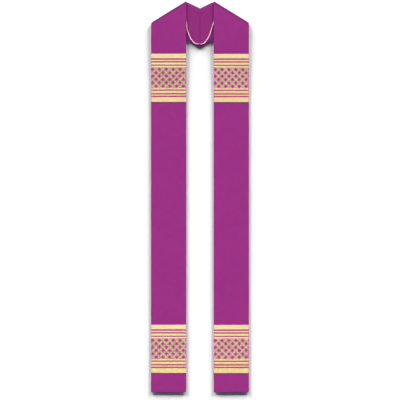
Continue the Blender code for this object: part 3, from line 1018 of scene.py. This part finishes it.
def make_slip_stitches(name, side, look):
    """Slanting stitches over the joint between the lining's edges and the turned-in face."""
    random = np.random.default_rng(53 + side)
    joint = INNER_HALF_WIDTH - GAP / 2
    share = np.linspace(0, 1, 5)
    out = 0.08 * MM - 0.26 * MM * np.sin(pi * share)
    front = straight_row(12 * MM), straight_row(LENGTH - 130 * MM)
    back = back_row(0.02), back_row(0.98)
    parts = []
    for edge in (-1, 1):
        column = edge * (joint + (0.9 - 1.8 * share) * MM)
        for start, end in (front, back):
            span = end[0] - start[0]
            reached = 0.0
            while reached < span:
                middle = start[0] + reached + share * 1.1 * MM
                slope = start[1] + (end[1] - start[1]) * reached / span
                across = shaped(column, middle)
                centres = strip_points(side, across, FOLD_FROM_HEM + middle + slope * across, out)
                parts.append(tube_part(centres, 0.15 * MM, 6))
                reached += random.uniform(5.2, 6.6) * MM
    return add_parts(name, parts, look)


# -------- the stole

LOOKS = {
    # the face and the lining carry painted shade along the fold, the seam and the edges
    "face": cloth_look(
        "face_cloth", (0.212, 0.0178, 0.148), (0.224, 0.0198, 0.157), 0.8, 0.06 * MM, 0.85, with_painted_shade_lines=True
    ),
    "lining": cloth_look(
        "lining_cloth", (0.186, 0.0148, 0.128), (0.195, 0.0160, 0.135), 0.5, 0.04 * MM, 0.75, True, True
    ),
    "ground": cloth_look("band_ground", (0.40, 0.020, 0.235), (0.37, 0.018, 0.225), 0.7, 0.05 * MM, 0.8),
    "upper_bars": thread_look("bar_thread", (0.645, 0.543, 0.279), (0.605, 0.508, 0.254), 1.1, 0.12),
    "lower_bars": thread_look("lower_bar_thread", (0.61, 0.508, 0.229), (0.57, 0.464, 0.204), 1.1, 0.12),
    "lines": thread_look("line_thread", (0.38, 0.052, 0.155), (0.33, 0.042, 0.135), 1.1, 0.12),
    "cream": thread_look("cream_thread", (0.745, 0.425, 0.465), (0.33, 0.37, 0.085), 1.0, 0.25),
    "gold": thread_look("gold_thread", (0.465, 0.232, 0.20), (0.128, 0.242, 0.006), 1.0, 0.25),
    "sewing": thread_look("sewing_thread", (0.26, 0.022, 0.18), (0.22, 0.018, 0.15), 0.5),
    "chain": metal_look("chain_metal", (0.97, 0.78, 0.735), (0.90, 0.69, 0.66), 0.45, 0.15),
    "clasp": metal_look("clasp_metal", (0.40, 0.39, 0.28), (0.25, 0.25, 0.17), 0.42, 0.6),
}


def placed(piece, node=None):
    """Puts a piece on the stole, in place of its CAD node if one is named."""
    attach(piece, "root")
    if node:
        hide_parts(node)
    return piece


def build_band(side_name, side, level):
    node = f"band_{level}_{side_name}"
    low, high = (corner.y - HEM_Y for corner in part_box(node))
    ground = placed(make_ground(f"{node}_ground", side, low, high, LOOKS["ground"]), node)
    groups = {"upper": (high, -1, UPPER_STRIPES_MM), "lower": (low, 1, LOWER_STRIPES_MM)}
    on_it = []
    for part, stripes in groups.items():
        bars = stripe_spans(*stripes, "bar")
        on_it.append(make_stripes(f"{node}_{part}_bars", side, bars, "bar", LOOKS[f"{part}_bars"]))
    lines = [span for stripes in groups.values() for span in stripe_spans(*stripes, "line")]
    on_it += [
        make_stripes(f"{node}_lines", side, lines, "line", LOOKS["lines"]),
        make_lattice(f"{node}_lattice", side, low, high, (1, 2), LOOKS["cream"]),
        make_lattice(f"{node}_lattice_edge", side, low, high, (0, 3), LOOKS["gold"]),
        make_band_stitches(f"{node}_stitches", side, low, high, LOOKS["upper_bars"]),
    ]
    for piece in on_it:
        placed(piece)


def build_half(side_name, side):
    face = placed(make_face(f"face_{side_name}_cloth", side, LOOKS["face"]), f"face_{side_name}")
    node = f"lining_{side_name}"
    lining = placed(make_lining(f"{node}_cloth", side, LOOKS["lining"]), node)
    stitches = placed(make_slip_stitches(f"{node}_stitches", side, LOOKS["sewing"]))
    for level in ("upper", "lower"):
        build_band(side_name, side, level)
    node = f"chain_ring_{side_name}"
    placed(make_eye(f"{node}_wire", side, LOOKS["chain"]), node)
    placed(make_eye_stitches(f"{node}_stitches", side, LOOKS["sewing"]))


def build_chains():
    hook = placed(make_hook("clasp_hook_loop", LOOKS["clasp"]), "clasp_hook")
    ring = placed(make_clasp_ring("clasp_jump_ring", LOOKS["clasp"]), "clasp_ring")
    for side_name, clasp_piece in (("left", hook), ("right", ring)):
        node = f"neck_chain_{side_name}"
        chain, centres, length = make_chain(f"{node}_links", side_name, SIDES[side_name], LOOKS["chain"])
        placed(chain, node)


for side_name, side in SIDES.items():
    build_half(side_name, side)
build_chains()


# -------- floor, lights and camera

PHOTO_PIXELS = 400
PIXEL = LENGTH / 390.8  # metres of the stole to one pixel of the picture
HEM_PIXEL = 392.4  # the picture's row where the hem lies
CAMERA_LENS = 200.0
SENSOR = 36.0
FLOOR_LEVEL = -2.5 * MM  # under a pixel low, so that the shadows are as deep as shown
STAGE_COLOUR = (0.68, 0.68, 0.68, 1)
ROOM = 15.0  # metres from the middle to each wall
WALL_HEIGHT = 1.4
WALL_GLOW = 1.0
LOW_AZIMUTH = radians(34)  # of the two low lights, either side of +Y
LOW_ELEVATION = radians(14.2)
LOW_SOFTNESS = radians(26)
LOW_STRENGTH = 9.25
LOW_TINT = (1.0, 0.988, 0.963)
TOP_STRENGTH = 0.1
WORLD_COLOUR = (0.72, 0.9, 1.29, 1)
WORLD_STRENGTH = 0.09


def make_stage(name, points, faces, glow):
    """A matt pale part of the studio, which gives off this much light itself."""
    look = bpy.data.materials.new(name)
    look.use_nodes = True
    inputs = look.node_tree.nodes["Principled BSDF"].inputs
    inputs["Base Color"].default_value = STAGE_COLOUR
    inputs["Roughness"].default_value = 0.9
    inputs["Emission Color"].default_value = (1, 1, 1, 1)
    inputs["Emission Strength"].default_value = glow
    mesh = bpy.data.meshes.new(name)
    mesh.from_pydata(points, [], faces)
    mesh.materials.append(look)
    made = add_object(name, mesh)
    made.location.z = FLOOR_LEVEL
    return made


def add_light(name, azimuth, elevation, softness_angle, strength, tint=(1, 1, 1)):
    """A far light. azimuth is measured from +Y towards +X."""
    data = bpy.data.lights.new(name, "SUN")
    data.angle = softness_angle
    data.energy = strength
    data.color = tint
    light = add_object(name, data)
    away = Vector((sin(azimuth) * cos(elevation), cos(azimuth) * cos(elevation), sin(elevation)))
    light.location = away * 4
    light.rotation_mode = "QUATERNION"
    light.rotation_quaternion = away.to_track_quat("Z", "Y")


corners = [(-ROOM, -ROOM), (ROOM, -ROOM), (ROOM, ROOM), (-ROOM, ROOM)]
low_corners = [(x, y, 0) for x, y in corners]
high_corners = [(x, y, WALL_HEIGHT) for x, y in corners]
walls = [(n, n + 4, (n + 1) % 4 + 4, (n + 1) % 4) for n in range(4)]
make_stage("floor", low_corners, [(0, 1, 2, 3)], 0.0)
backdrop = make_stage("backdrop", low_corners + high_corners, walls, WALL_GLOW)
backdrop.visible_shadow = False
backdrop.visible_diffuse = False
for name, azimuth in (("low_left", -LOW_AZIMUTH), ("low_right", LOW_AZIMUTH)):
    add_light(name, azimuth, LOW_ELEVATION, LOW_SOFTNESS, LOW_STRENGTH, LOW_TINT)
add_light("top", 0.0, radians(80), radians(60), TOP_STRENGTH)

world = bpy.data.worlds.new("studio")
world.use_nodes = True
background = world.node_tree.nodes["Background"]
background.inputs["Color"].default_value = WORLD_COLOUR
background.inputs["Strength"].default_value = WORLD_STRENGTH
bpy.context.scene.world = world
bpy.context.scene.view_settings.view_transform = "Standard"

camera_data = bpy.data.cameras.new("camera")
camera_data.lens = CAMERA_LENS
camera_data.sensor_width = SENSOR
camera = add_object("camera", camera_data)
view_y = HEM_Y + (HEM_PIXEL - PHOTO_PIXELS / 2) * PIXEL
distance = PHOTO_PIXELS * PIXEL * CAMERA_LENS / SENSOR
camera.location = (0, view_y, STRIP_THICKNESS + distance)
bpy.context.scene.camera = camera
